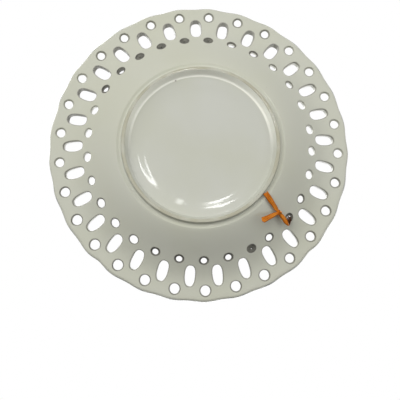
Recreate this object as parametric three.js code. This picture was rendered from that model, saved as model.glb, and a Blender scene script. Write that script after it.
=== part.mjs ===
// A pierced ceramic plate standing on its foot ring, with a short ribbon tied through one hole.
// Millimetres, +Z up. The origin is the middle of the foot's resting plane, and +X runs
// through the middle of an outer hole.
import * as THREE from "three";
import { mergeVertices } from "three/addons/utils/BufferGeometryUtils.js";

// Rim: radii are given on the underside, from the edge inwards
const RIM_RADIUS = 125; // mean radius of the scalloped edge
const RIM_HEIGHT = 30.6; // underside of the edge above the resting plane
const HOLES_PER_RING = 29; // also the number of lobes of the edge
const LOBE_HEIGHT = 0.9; // from the valley to the crest of a lobe
const EDGE_TO_OUTER = 9; // edge to the middle of the outer holes
const OUTER_TO_OVAL = 11.6; // outer holes to the middle of the ovals
const OVAL_TO_INNER = 12.2; // ovals to the middle of the inner holes
const INNER_DROP = 11; // inner holes below the underside of the edge
const OUTER_HOLE = 8.2; // diameter
const OVAL_LENGTH = 17.9; // along the slope of the rim
const OVAL_WIDTH = 8.4;
const INNER_HOLE = 7; // diameter
const OVAL_TURN = 6.7; // degrees that the ovals stand past the outer holes
const INNER_TURN = 0.4; // degrees that the inner holes stand past the outer holes
const INNER_STRAYS = new Map([[2, 1.5], [4, 2.9], [28, 1.8]]); // how far three holes creep forward
const EDGE_DIPS = [42, 131, 196]; // degrees, where the hand-finished edge runs a little flat
const DIP_DEPTH = 0.8;
const DIP_SPAN = 4; // degrees from the middle of a dip to where it is nearly gone
const PUNCH_REACH = 13; // along the wall, from the inner holes to where holes are punched square
const SQUARE_PUNCHED = 245; // degrees, where the inner holes are punched square too
const SQUARE_SPAN = 38; // degrees from there to where they stand nearly upright again

// Wall between the foot and the pierced rim
const WALL_THICKNESS = 5.2;
const FOOT_SLOPE = 15; // degrees, where the wall leaves the foot
const WALL_SLOPE = 34; // degrees, at the inner holes
const EDGE_SLOPE = 4; // degrees, at the edge
const WALL_FULLNESS = 0.31; // length of the tangents, as a share of the run that they shape
const RIM_FULLNESS = 0.46;

// Foot ring and base
const FOOT_RADIUS = 61.6; // middle of the flat land that the plate stands on
const FOOT_LAND = 1.2; // width of the land
const FOOT_EASE = 0.5; // chamfer along both sides of the land
const FOOT_TOP_WIDTH = 4.1; // width of the ring where it joins the base
const FOOT_JOIN_HEIGHT = 2.2; // outside of the ring, where the wall begins
const FOOT_JOIN_WIDTH = 0.8; // that the ring widens on its outside up to the wall
const GROOVE_WIDTH = 5; // trimmed groove, from the land to the shoulder of the wall
const GROOVE_DEPTH = 0.35; // bottom of the groove above the shoulder
const RECESS_DEPTH = 6.6; // middle of the base above the resting plane
const RECESS_CROWN = 1.5; // that the middle of the base stands above its border
const CROWN_RADIUS = 38; // where the base begins to fall towards its border
const FLOOR_THICKNESS = 4.4;
const WELL_RISE = 5; // height of the fillet between the floor of the well and the wall

// Ribbon: a flat strand doubled through an inner hole and knotted under the wall. The routes
// start at the knot. The loop's route runs midway between its two strands, up through the
// hole and a little way beyond the front of the wall, where a crest joins them.
const RIBBON_WIDTH = 3.2;
const RIBBON_THICKNESS = 0.9;
const LEG_SPACING = 1.5; // between the two strands of the loop
const KNOT_SIZE = [4, 4.6, 3.2]; // the second figure is along the knot's axis
const KNOT_MIDDLE = [63.4, 53.5, 9.5];
const KNOT_AXIS = [-0.62, -0.62, -0.48];
const LOOP_ROUTE = [
  [65.2, 55.3, 10.9],
  [68.4, 58.8, 12.9],
  [71.5, 62.4, 15.2],
  [73.4, 61.4, 17.0],
  [73.5, 57.9, 18.6],
  [73.2, 56.4, 21.0],
  [72.9, 56.1, 23.8],
];
const LOOP_CREST = [72.5, 55.8, 27.2];
const LOOP_ACROSS = [0.44, -0.89, -0.13]; // direction of the ribbon's width
const LONG_TAIL_ROUTE = [
  [61.5, 51.5, 8.0],
  [59.0, 48.4, 5.6],
  [56.0, 44.7, 3.2],
  [53.2, 41.3, 1.5],
  [50.9, 38.4, 0.9],
];
const LONG_TAIL_ACROSS = [0.77, -0.64, 0];
const SHORT_TAIL_ROUTE = [
  [61.1, 54.4, 8.7],
  [57.8, 56.3, 6.2],
  [54.0, 58.4, 3.6],
  [51.2, 59.9, 1.9],
  [48.8, 60.9, 0.9],
];
const SHORT_TAIL_ACROSS = [0.37, 0.93, 0];

// Fineness of the curved faces
const FACETS_PER_PITCH = 4;
const RIM_FACETS = FACETS_PER_PITCH * HOLES_PER_RING;
const BASE_FACETS = RIM_FACETS / 2;
const WALL_STEPS = 5;
const EDGE_STEPS = 4;
const FILLET_STEPS = 3;
const ROUND_SIDES = 12;
const OVAL_SIDES = 14;
const RIBBON_SIDES = 8;
const RIBBON_STEP = 1.5; // length of ribbon between two sections
const HOLE_BORDER = 2; // wall between a hole and the line where the facets of two rings meet
const MERGE_DISTANCE = 1e-3; // two corners closer than this are one
const SEARCH_STEPS = 40; // halvings of the line when a place on it is looked for

const radians = THREE.MathUtils.degToRad;
const degrees = THREE.MathUtils.radToDeg;
const pitch = 360 / HOLES_PER_RING;
const outerRadius = RIM_RADIUS - EDGE_TO_OUTER;
const ovalRadius = outerRadius - OUTER_TO_OVAL;
const innerRadius = ovalRadius - OVAL_TO_INNER;
const landInside = FOOT_RADIUS - FOOT_LAND / 2;
const landOutside = FOOT_RADIUS + FOOT_LAND / 2;
const footOutside = landOutside + FOOT_EASE + FOOT_JOIN_WIDTH;
const recessRadius = landOutside - FOOT_TOP_WIDTH;
const floorHeight = RECESS_DEPTH + FLOOR_THICKNESS;

// Underside of the wall and the rim as one line: x is the radius and y the height
function run(start, startSlope, end, endSlope, fullness) {
  const reach = start.distanceTo(end) * fullness;
  const out = (slope) => new THREE.Vector2(Math.cos(radians(slope)), Math.sin(radians(slope)));
  const leaving = start.clone().addScaledVector(out(startSlope), reach);
  const arriving = end.clone().addScaledVector(out(endSlope), -reach);
  return new THREE.CubicBezierCurve(start, leaving, arriving, end);
}

const wallFoot = new THREE.Vector2(footOutside, FOOT_JOIN_HEIGHT);
const wallTop = new THREE.Vector2(innerRadius, RIM_HEIGHT - INNER_DROP);
const edgeBelow = new THREE.Vector2(RIM_RADIUS - WALL_THICKNESS / 2, RIM_HEIGHT);
const line = new THREE.CurvePath();
line.add(run(wallFoot, FOOT_SLOPE, wallTop, WALL_SLOPE, WALL_FULLNESS));
line.add(run(wallTop, WALL_SLOPE, edgeBelow, EDGE_SLOPE, RIM_FULLNESS));
const lineLength = line.getLength();

// A point of the line, raised through the wall by a depth, and the directions of the wall there
function throughWall(distance, depth) {
  const share = THREE.MathUtils.clamp(distance / lineLength, 0, 1);
  const along = line.getTangent(share);
  const up = new THREE.Vector2(-along.y, along.x);
  return { point: line.getPoint(share).addScaledVector(up, depth), along, up };
}

// Distance along the line at which a growing measure reaches a value
function distanceWhere(measure, value) {
  let [low, high] = [0, lineLength];
  for (let i = 0; i < SEARCH_STEPS; i++) {
    const middle = (low + high) / 2;
    if (measure(middle) < value) low = middle;
    else high = middle;
  }
  return low;
}

// How far the edge stands out of its mean radius at an angle in degrees
function edgeRelief(angle) {
  let relief = (LOBE_HEIGHT / 2) * Math.cos(radians(angle * HOLES_PER_RING));
  for (const middle of EDGE_DIPS) {
    const away = THREE.MathUtils.euclideanModulo(angle - middle + 180, 360) - 180;
    relief -= DIP_DEPTH * Math.exp(-2 * (away / DIP_SPAN) ** 2);
  }
  return relief;
}

// A point of the section turned about the plate's axis, with the relief of the edge.
// The angle is folded and rounded, so that a place reached from two sides is one point.
function turned(point, angle) {
  const folded = Number(THREE.MathUtils.euclideanModulo(angle, 360).toFixed(8)) % 360;
  const share = THREE.MathUtils.smoothstep(point.x, ovalRadius, RIM_RADIUS);
  const radius = point.x + share * edgeRelief(folded);
  const turn = radians(folded);
  return new THREE.Vector3(radius * Math.cos(turn), radius * Math.sin(turn), point.y);
}

function ringOf(point, facets) {
  return Array.from({ length: facets }, (_, i) => turned(point, (360 * i) / facets));
}

// Triangles between two rings, each with its own number of points
function stitch(faces, low, high) {
  const lows = low.length;
  const highs = high.length;
  const lowEnd = lows > 1 ? lows : 0;
  const highEnd = highs > 1 ? highs : 0;
  let [i, j] = [0, 0];
  while (i < lowEnd || j < highEnd) {
    const lowIsNext = (i + 1) * highs <= (j + 1) * lows;
    if (i < lowEnd && (lowIsNext || j === highEnd)) {
      faces.push(low[i], low[(i + 1) % lows], high[j % highs]);
      i += 1;
    } else {
      faces.push(low[i % lows], high[(j + 1) % highs], high[j]);
      j += 1;
    }
  }
}

function stitchAll(faces, rings) {
  for (let i = 0; i + 1 < rings.length; i++) stitch(faces, rings[i], rings[i + 1]);
}

function closedGeometry(faces) {
  return mergeVertices(new THREE.BufferGeometry().setFromPoints(faces), MERGE_DISTANCE);
}

// Sections of the base and the foot ring, from the axis to the bottom of the trimmed groove.
// The base falls steepest half way between its flat middle and its border.
function baseSections() {
  const falling = (share, fall) => {
    const radius = THREE.MathUtils.lerp(CROWN_RADIUS, recessRadius, share);
    return [radius, RECESS_DEPTH - RECESS_CROWN * fall];
  };
  const groove = throughWall(shoulder, 0).point.y + GROOVE_DEPTH;
  return [
    [0, RECESS_DEPTH],
    falling(0, 0),
    falling(0.4, 0.33),
    falling(0.67, 0.78),
    falling(1, 1),
    [landInside - FOOT_EASE, FOOT_EASE],
    [landInside, 0],
    [landOutside, 0],
    [landOutside + FOOT_EASE, FOOT_EASE],
    [landOutside + 0.26 * GROOVE_WIDTH, 0.8 * groove],
    [landOutside + 0.48 * GROOVE_WIDTH, groove],
  ].map(([x, y]) => new THREE.Vector2(x, y));
}

// Rings of the wall between two distances along the line, at one depth
function wallRings(from, to, depth) {
  return Array.from({ length: WALL_STEPS + 1 }, (_, i) => {
    const distance = from + ((to - from) * i) / WALL_STEPS;
    return Array.from({ length: RIM_FACETS }, (_, facet) => {
      return onWall(new THREE.Vector2((360 * facet) / RIM_FACETS, distance), depth);
    });
  });
}

// Round of the edge, from its underside to its front
function edgeSections() {
  const { point, along, up } = throughWall(lineLength, WALL_THICKNESS / 2);
  return Array.from({ length: EDGE_STEPS + 1 }, (_, i) => {
    const turn = (Math.PI * i) / EDGE_STEPS - Math.PI / 2;
    const out = (Math.cos(turn) * WALL_THICKNESS) / 2;
    const rise = (Math.sin(turn) * WALL_THICKNESS) / 2;
    return point.clone().addScaledVector(along, out).addScaledVector(up, rise);
  });
}

// Fillet that brings the front of the wall down to the floor of the well
const frontHeight = (distance) => throughWall(distance, WALL_THICKNESS).point.y;
const filletStart = distanceWhere(frontHeight, floorHeight + WELL_RISE);

function filletSections() {
  const { point, along } = throughWall(filletStart, WALL_THICKNESS);
  const corner = point.clone().addScaledVector(along, -WELL_RISE / along.y);
  const flat = new THREE.Vector2(corner.x - point.distanceTo(corner), floorHeight);
  return new THREE.QuadraticBezierCurve(point, corner, flat).getPoints(FILLET_STEPS);
}

// Outlines of the holes about their middle: x runs round the rim and y up its slope
function roundOutline(diameter) {
  const circle = new THREE.EllipseCurve(0, 0, diameter / 2, diameter / 2);
  return circle.getPoints(ROUND_SIDES).slice(0, -1);
}

function ovalOutline(length, width) {
  const straight = (length - width) / 2;
  const ends = [straight, -straight].map((y, i) => {
    const arc = new THREE.EllipseCurve(0, y, width / 2, width / 2, i * Math.PI, (i + 1) * Math.PI);
    return arc.getPoints(OVAL_SIDES / 2 - 1);
  });
  return ends.flat();
}

// Rings of holes: where their middles lie along the line, and how far the ring is turned
const distanceOf = (radius) => distanceWhere((d) => throughWall(d, 0).point.x, radius);
const shoulder = distanceOf(landOutside + GROOVE_WIDTH);

// Strays are the holes that stand off their even spacing.
function holeRing(radius, turn, outline, strays = new Map()) {
  const reach = Math.max(...outline.map(({ y }) => y));
  return { radius, at: distanceOf(radius), turn, outline, reach, strays };
}

const innerRing = holeRing(innerRadius, INNER_TURN, roundOutline(INNER_HOLE), INNER_STRAYS);
const ovalRing = holeRing(ovalRadius, OVAL_TURN, ovalOutline(OVAL_LENGTH, OVAL_WIDTH));
const outerRing = holeRing(outerRadius, 0, roundOutline(OUTER_HOLE));

// A place on the wall is a pair: x is its angle in degrees and y its distance along the line.
// The inner holes stand upright in the steep wall: their places on the front lie further along.
function punchLean(place) {
  const away = THREE.MathUtils.clamp((place.y - innerRing.at) / PUNCH_REACH, -1, 1);
  const turn = THREE.MathUtils.euclideanModulo(place.x - SQUARE_PUNCHED + 180, 360) - 180;
  const upright = 1 - Math.exp(-((turn / SQUARE_SPAN) ** 2));
  return Math.tan(radians(WALL_SLOPE)) * (1 - away ** 2) ** 2 * upright;
}

function onWall(place, depth) {
  return turned(throughWall(place.y + punchLean(place) * depth, depth).point, place.x);
}

function holeMiddle(ring, index) {
  const stray = ring.strays.get(index) ?? 0;
  return new THREE.Vector2(ring.turn + index * pitch + degrees(stray / ring.radius), ring.at);
}

function holePlaces(ring, middle) {
  return ring.outline.map(({ x, y }) => {
    const radius = throughWall(middle.y + y, 0).point.x;
    return new THREE.Vector2(middle.x + degrees(x / radius), middle.y + y);
  });
}

// Rows of places that part the rings of holes. A row has four places to each pitch, and
// a row's function takes any whole number as its index.
const lowestRow = innerRing.at - innerRing.reach - HOLE_BORDER;

function levelRow(distance) {
  return (index) => new THREE.Vector2((index * pitch) / FACETS_PER_PITCH, distance);
}

// A row that swings between the holes of one ring and the ovals half a pitch away
function swingingRow(ring, atRing, atOval) {
  return (index) => {
    const whole = Math.floor(index / FACETS_PER_PITCH);
    const first = new THREE.Vector2(ring.turn + whole * pitch, atRing);
    const second = new THREE.Vector2(ovalRing.turn + whole * pitch, atOval);
    const next = new THREE.Vector2(first.x + pitch, atRing);
    const quarter = index - whole * FACETS_PER_PITCH;
    return [first, first.clone().lerp(second, 0.5), second, second.clone().lerp(next, 0.5)][quarter];
  };
}

const belowInner = levelRow(lowestRow);
const innerToOval = swingingRow(
  innerRing,
  innerRing.at + innerRing.reach + HOLE_BORDER,
  ovalRing.at - ovalRing.reach - HOLE_BORDER,
);
const ovalToOuter = swingingRow(
  outerRing,
  outerRing.at - outerRing.reach - HOLE_BORDER,
  ovalRing.at + ovalRing.reach + HOLE_BORDER,
);
const aboveOuter = levelRow(lineLength);

// Triangles between the border of a cell and the hole in it, both running the same way round.
// The next triangle goes to whichever of the two is behind, as seen from the hole's middle.
function cellTriangles(border, hole, middle) {
  const fullTurn = 2 * Math.PI;
  const bearing = (place) => {
    const [x, y] = [radians(place.x - middle.x) * ovalRadius, place.y - middle.y];
    return THREE.MathUtils.euclideanModulo(Math.atan2(y, x), fullTurn);
  };
  const inOrder = (places) => {
    return places
      .map((place) => ({ place, bearing: bearing(place) }))
      .sort((a, b) => a.bearing - b.bearing);
  };
  const [wide, tight] = [inOrder(border), inOrder(hole)];
  const at = (loop, i) => loop[i % loop.length].place;
  const bearingAt = (loop, i) => {
    return loop[i % loop.length].bearing + fullTurn * Math.floor(i / loop.length);
  };
  const triangles = [];
  let [i, j] = [0, 0];
  while (i < wide.length || j < tight.length) {
    const wideIsNext = bearingAt(wide, i + 1) <= bearingAt(tight, j + 1);
    if (j === tight.length || (i < wide.length && wideIsNext)) {
      triangles.push([at(wide, i), at(wide, i + 1), at(tight, j)]);
      i += 1;
    } else {
      triangles.push([at(wide, i), at(tight, j + 1), at(tight, j)]);
      j += 1;
    }
  }
  return triangles;
}

// Wall round one hole, on the underside at depth 0 and on the front at the wall's thickness
function cellFaces(faces, { low, high, from, ring, index }) {
  const stretch = (row) => {
    return Array.from({ length: FACETS_PER_PITCH + 1 }, (_, i) => row(from + i));
  };
  const [below, above] = [stretch(low), stretch(high).reverse()];
  const right = below.at(-1).clone().lerp(above[0], 0.5);
  const left = above.at(-1).clone().lerp(below[0], 0.5);
  const border = [...below, right, ...above, left];
  const middle = holeMiddle(ring, index);
  const hole = holePlaces(ring, middle);
  for (const corners of cellTriangles(border, hole, middle)) {
    faces.push(...corners.map((place) => onWall(place, 0)));
    corners.reverse();
    faces.push(...corners.map((place) => onWall(place, WALL_THICKNESS)));
  }
  const mouth = (depth) => hole.map((place) => onWall(place, depth));
  stitch(faces, mouth(0), mouth(WALL_THICKNESS));
}

function piercedRim(faces) {
  const half = FACETS_PER_PITCH / 2;
  for (let index = 0; index < HOLES_PER_RING; index++) {
    const start = index * FACETS_PER_PITCH;
    const innerCell = { low: belowInner, high: innerToOval, from: start - half, ring: innerRing };
    const ovalCell = { low: innerToOval, high: ovalToOuter, from: start, ring: ovalRing };
    const outerCell = { low: ovalToOuter, high: aboveOuter, from: start - half, ring: outerRing };
    for (const cell of [innerCell, ovalCell, outerCell]) cellFaces(faces, { ...cell, index });
  }
}

function plateBody() {
  const faces = [];
  const rim = (point) => ringOf(point, RIM_FACETS);
  const base = (point) => ringOf(point, point.x > 0 ? BASE_FACETS : 1);
  const middle = new THREE.Vector2(0, floorHeight);
  stitchAll(faces, [...baseSections().map(base), ...wallRings(shoulder, lowestRow, 0)]);
  piercedRim(faces);
  stitchAll(faces, edgeSections().map(rim));
  stitchAll(faces, [
    ...wallRings(lowestRow, filletStart, WALL_THICKNESS),
    ...filletSections().slice(1).map(base),
    base(middle),
  ]);
  return closedGeometry(faces);
}

const vector = (numbers) => new THREE.Vector3(...numbers);

// A flat strand with rounded edges along a curve. Its width keeps close to one direction.
function ribbonGeometry(points, across) {
  const curve = new THREE.CatmullRomCurve3(points);
  const steps = Math.ceil(curve.getLength() / RIBBON_STEP);
  const sections = Array.from({ length: steps + 1 }, (_, i) => {
    const centre = curve.getPointAt(i / steps);
    const along = curve.getTangentAt(i / steps);
    const thin = along.clone().cross(across).normalize();
    const wide = thin.clone().cross(along);
    return Array.from({ length: RIBBON_SIDES }, (_, side) => {
      const turn = (2 * Math.PI * (side + 0.5)) / RIBBON_SIDES;
      return centre
        .clone()
        .addScaledVector(wide, (Math.cos(turn) * RIBBON_WIDTH) / 2)
        .addScaledVector(thin, (Math.sin(turn) * RIBBON_THICKNESS) / 2);
    });
  });
  const faces = [];
  stitchAll(faces, [[curve.getPoint(0)], ...sections, [curve.getPoint(1)]]);
  return closedGeometry(faces);
}

// The loop's two strands, one each side of its route, joined over the crest
function loopGeometry() {
  const crest = vector(LOOP_CREST);
  const across = vector(LOOP_ACROSS);
  const route = LOOP_ROUTE.map(vector);
  const middle = new THREE.CatmullRomCurve3([...route, crest]);
  const strand = (side) => {
    return route.map((point, i) => {
      const aside = middle.getTangent(i / route.length).cross(across).normalize();
      return point.clone().addScaledVector(aside, (side * LEG_SPACING) / 2);
    });
  };
  return ribbonGeometry([...strand(1), crest, ...strand(-1).reverse()], across);
}

function tailGeometry(route, across) {
  return ribbonGeometry(route.map(vector), vector(across));
}

function knotGeometry() {
  const knot = new THREE.SphereGeometry(0.5, ROUND_SIDES, ROUND_SIDES / 2);
  knot.deleteAttribute("normal");
  knot.deleteAttribute("uv");
  knot.scale(...KNOT_SIZE);
  return mergeVertices(knot, MERGE_DISTANCE);
}

const glaze = new THREE.MeshStandardMaterial({ color: 0xc8c9bb, roughness: 0.12, metalness: 0 });
const ribbon = new THREE.MeshStandardMaterial({ color: 0xcc6f14, roughness: 0.5, metalness: 0 });

function named(name, geometry, material) {
  const mesh = new THREE.Mesh(geometry, material);
  mesh.name = name;
  return mesh;
}

const plate = new THREE.Group();
const knot = named("tie_knot", knotGeometry(), ribbon);
knot.position.copy(vector(KNOT_MIDDLE));
knot.quaternion.setFromUnitVectors(new THREE.Vector3(0, 1, 0), vector(KNOT_AXIS).normalize());
plate.add(
  named("plate_body", plateBody(), glaze),
  named("tie_loop", loopGeometry(), ribbon),
  knot,
  named("tie_tail_long", tailGeometry(LONG_TAIL_ROUTE, LONG_TAIL_ACROSS), ribbon),
  named("tie_tail_short", tailGeometry(SHORT_TAIL_ROUTE, SHORT_TAIL_ACROSS), ribbon),
);

export default plate;
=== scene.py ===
# %% [markdown]
# # A pierced plate with a ribbon tied through its rim
# The plate is one piece of fired clay under a clear, grey-white glaze. It stands on a low foot
# ring, and three rings of holes go through its rim. A short orange ribbon hangs from one hole.
# The CAD model of the plate is loaded first. It is the frame that every piece here fits into.

# %% Load the frame
import math
import random

import bmesh
import bpy
from mathutils import Matrix, Vector
from mathutils.noise import noise


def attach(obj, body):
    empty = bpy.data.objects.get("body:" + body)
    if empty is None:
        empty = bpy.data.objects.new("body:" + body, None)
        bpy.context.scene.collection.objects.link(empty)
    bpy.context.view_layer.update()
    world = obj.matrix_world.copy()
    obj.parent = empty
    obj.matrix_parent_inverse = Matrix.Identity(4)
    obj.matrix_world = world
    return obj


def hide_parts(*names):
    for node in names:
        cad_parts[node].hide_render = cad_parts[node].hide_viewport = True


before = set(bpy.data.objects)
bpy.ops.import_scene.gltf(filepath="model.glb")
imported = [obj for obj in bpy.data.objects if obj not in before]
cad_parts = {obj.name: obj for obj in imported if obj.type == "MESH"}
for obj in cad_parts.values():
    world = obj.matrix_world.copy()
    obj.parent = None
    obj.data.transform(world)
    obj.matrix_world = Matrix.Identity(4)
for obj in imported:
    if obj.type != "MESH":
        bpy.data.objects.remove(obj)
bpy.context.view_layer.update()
MM = 0.001

# %% [markdown]
# ## The camera
# The picture looks at the back of the plate, almost along its axis. The plate here stands on its
# foot, so the camera is below it and looks up. Its place and its turn were found by laying the
# rings of holes, the edge and the foot over the picture until all of them agreed.

# %% Camera under the plate
EYE = Vector((-18.749, 124.846, -554.976)) * MM
PICTURE_RIGHT = Vector((0.99928, -0.01330, -0.03542))
PICTURE_UP = Vector((-0.01814, -0.98996, -0.14021))
SENSOR_WIDTH = 36
LENS = 64.44

camera_data = bpy.data.cameras.new("camera")
camera_data.sensor_width = SENSOR_WIDTH
camera_data.lens = LENS
camera = bpy.data.objects.new("camera", camera_data)
bpy.context.scene.collection.objects.link(camera)
camera_turn = Matrix((PICTURE_RIGHT, PICTURE_UP, PICTURE_RIGHT.cross(PICTURE_UP))).transposed()
camera.matrix_world = Matrix.Translation(EYE) @ camera_turn.to_4x4()
bpy.context.scene.camera = camera
print("camera is", round(EYE.length, 3), "m from the middle of the foot")

# %% [markdown]
# ## The ribbon's route
# One ribbon is doubled, pushed through a hole from below and knotted under the wall, so that two
# strands run from the bend above the wall, through the hole, to the knot, and on as two tails.
# Each strand follows a smooth curve through a few points. They are those of the CAD model, which
# stands where a limp ribbon hangs, but for four that lie less than a millimetre off: three draw
# the fold below the hole tighter, and the last of the long tail keeps it clear of the foot.
# Spacing the points of the curve evenly keeps the mesh that is built on it regular.

# %% Points of the route
KNOT_MIDDLE = Vector((63.4, 53.5, 9.5)) * MM
LOOP_CREST = Vector((72.5, 55.8, 27.2)) * MM
LOOP_ACROSS = Vector((0.44, -0.89, -0.13)).normalized()
LOOP_ROUTE = [Vector(point) * MM for point in (
    (65.2, 55.3, 10.9),
    (68.4, 58.8, 12.9),
    (71.3, 62.6, 15.1),
    (72.5, 61.3, 16.8),
    (73.1, 58.4, 18.6),
    (73.2, 56.4, 21.0),
    (72.9, 56.1, 23.8),
)]
LONG_TAIL = [Vector(point) * MM for point in (
    (61.5, 51.5, 8.0),
    (59.0, 48.4, 5.6),
    (56.0, 44.7, 3.2),
    (53.2, 41.3, 1.5),
    (51.3, 38.9, 1.0),
)]
SHORT_TAIL = [Vector(point) * MM for point in (
    (61.1, 54.4, 8.7),
    (57.8, 56.3, 6.2),
    (54.0, 58.4, 3.6),
    (51.2, 59.9, 1.9),
    (48.8, 60.9, 0.9),
)]
print("points of the route:", len([*LOOP_ROUTE, *LONG_TAIL, *SHORT_TAIL]))

# %% Smooth curve with even spacing
def curve_through(points, steps=24):
    """Points of a Catmull-Rom curve through the given ones."""
    ends = [points[0] * 2 - points[1], *points, points[-1] * 2 - points[-2]]
    made = []
    for before, start, end, after in zip(ends, ends[1:], ends[2:], ends[3:]):
        for step in range(steps):
            t = step / steps
            made.append(0.5 * (
                2 * start
                + (end - before) * t
                + (2 * before - 5 * start + 4 * end - after) * t ** 2
                + (3 * start - before - 3 * end + after) * t ** 3
            ))
    return [*made, points[-1].copy()]


def evenly_spaced(points, spacing):
    """The same line with its points a given distance apart, and its length."""
    reached = [0.0]
    for start, end in zip(points, points[1:]):
        reached.append(reached[-1] + (end - start).length)
    count = math.ceil(reached[-1] / spacing)
    made, segment = [], 0
    for i in range(count + 1):
        distance = reached[-1] * i / count
        while segment < len(points) - 2 and reached[segment + 1] < distance:
            segment += 1
        share = (distance - reached[segment]) / (reached[segment + 1] - reached[segment])
        made.append(points[segment].lerp(points[segment + 1], share))
    return made, reached[-1]


loop_length = evenly_spaced(curve_through(LOOP_ROUTE), MM)[1]
print("length of the loop below the crest in mm:", round(loop_length / MM, 1))

# %% Routes of the two strands
STRAND_SPACING = 1.5 * MM
POINT_SPACING = 0.45 * MM


def strand_route(side, tail):
    """One strand from the bend above the wall to the end of its tail."""
    middle = [LOOP_CREST, *reversed(LOOP_ROUTE)]
    shifted = [LOOP_CREST]
    for before, here, after in zip(middle, middle[1:], [*middle[2:], KNOT_MIDDLE]):
        aside = (after - before).cross(LOOP_ACROSS).normalized()
        shifted.append(here + aside * side * STRAND_SPACING / 2)
    return evenly_spaced(curve_through([*shifted, KNOT_MIDDLE, *tail]), POINT_SPACING)


long_route, long_length = strand_route(-1, LONG_TAIL)
short_route, short_length = strand_route(1, SHORT_TAIL)
print("strands in mm:", round(long_length / MM, 1), round(short_length / MM, 1))

# %% [markdown]
# ## From corners to a piece
# Every piece here is made the same way: its corners are worked out, then the faces between them.
# Smooth shading hides the facets. A map of the surface lets a material follow the ribbon.

# %% Helpers for meshes
def smooth_step(low, high, value):
    """0 below low, 1 above high and a soft change between them."""
    share = min(max((value - low) / (high - low), 0.0), 1.0)
    return share * share * (3 - 2 * share)


def mesh_piece(name, corners, faces):
    """A piece made from corners and faces, shaded smoothly."""
    mesh = bpy.data.meshes.new(name)
    mesh.from_pydata(corners, [], faces)
    mesh.validate()
    mesh.update()
    mesh.shade_smooth()
    piece = bpy.data.objects.new(name, mesh)
    bpy.context.scene.collection.objects.link(piece)
    return piece


def add_map(piece, places):
    """A map that runs along the ribbon one way and across it the other."""
    uv = piece.data.uv_layers.new(name="along_and_across")
    for loop in piece.data.loops:
        uv.data[loop.index].uv = places[loop.vertex_index]


print("smooth step half way:", smooth_step(0, 1, 0.5))

# %% [markdown]
# ## The strands
# The ribbon is like raffia: thin, a little curled across its width, ridged along its length, and
# gathered where the knot grips it and where it folds into the hole. Towards their ends the tails
# spread and fray. A bevelled curve could give the ribbon a width, but no curl that changes on the
# way. So each strand is a mesh of cross-sections: at every point of the route a flat outline is
# set square to the line, with its own width, curl and ridges. The strand also notes how far it
# has gone behind the fold, where almost no light comes.

# %% Outline of a cross-section
RIBBON_THICKNESS = 0.36 * MM
RIBBON_COLUMNS = 14
BORDER_ROUNDING = 6
RIDGE_DRIFT = 0.5


def ribbon_outline(i, curl, frayed, ridges, fray):
    """A closed outline: each corner's place across, its height, and how far it is drawn on."""
    middle = []
    for column in range(RIBBON_COLUMNS + 1):
        u = column / RIBBON_COLUMNS - 0.5
        ridge = ridges[column] * (1 + RIDGE_DRIFT * math.sin(i * 0.17 + column))
        height = curl * (4 * u * u - 0.33) * 0.5 + ridge
        half = RIBBON_THICKNESS / 2 * (1 - (2 * abs(u)) ** BORDER_ROUNDING)
        middle.append((u, height, half, fray[column] * frayed))
    top = [(u, height + half, on) for u, height, half, on in middle]
    bottom = [(u, height - half, on) for u, height, half, on in middle[-2:0:-1]]
    return [*top, *bottom]


def tube_faces(rings, sides):
    """Quads between rings of corners, and a cap on each end."""
    made = []
    for i in range(rings - 1):
        here, there = i * sides, (i + 1) * sides
        for side in range(sides):
            beside = (side + 1) % sides
            made.append((here + side, here + beside, there + beside, there + side))
    made.append(tuple(reversed(range(sides))))
    made.append(tuple(range((rings - 1) * sides, rings * sides)))
    return made


level = [0] * (RIBBON_COLUMNS + 1)
print("corners in a cross-section:", len(ribbon_outline(0, 0, 0, level, level)))

# %% Strand mesh
RIBBON_WIDTH = 3.2 * MM
RIDGE_HEIGHT = 0.07 * MM
WIDTH_DRIFT = 0.05
GATHERED_WIDTH = 1.5 * MM
GATHER_REACH = 4.5 * MM
GATHERED_CURL = 0.5
CURL_LOSS = 0.36
TURNING_POINTS = 6
FOLD = Vector((71.9, 62.5, 15.8)) * MM
FOLD_WIDTH = 1.1 * MM
SHADE_POINTS = (3, -2)
TAIL_SPREAD = 0.4
FRAY = 1.1 * MM
FRAYED_POINTS = 6
LONG_TAIL_ACROSS = Vector((0.77, -0.64, 0))
SHORT_TAIL_ACROSS = Vector((-0.37, -0.93, 0))


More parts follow.
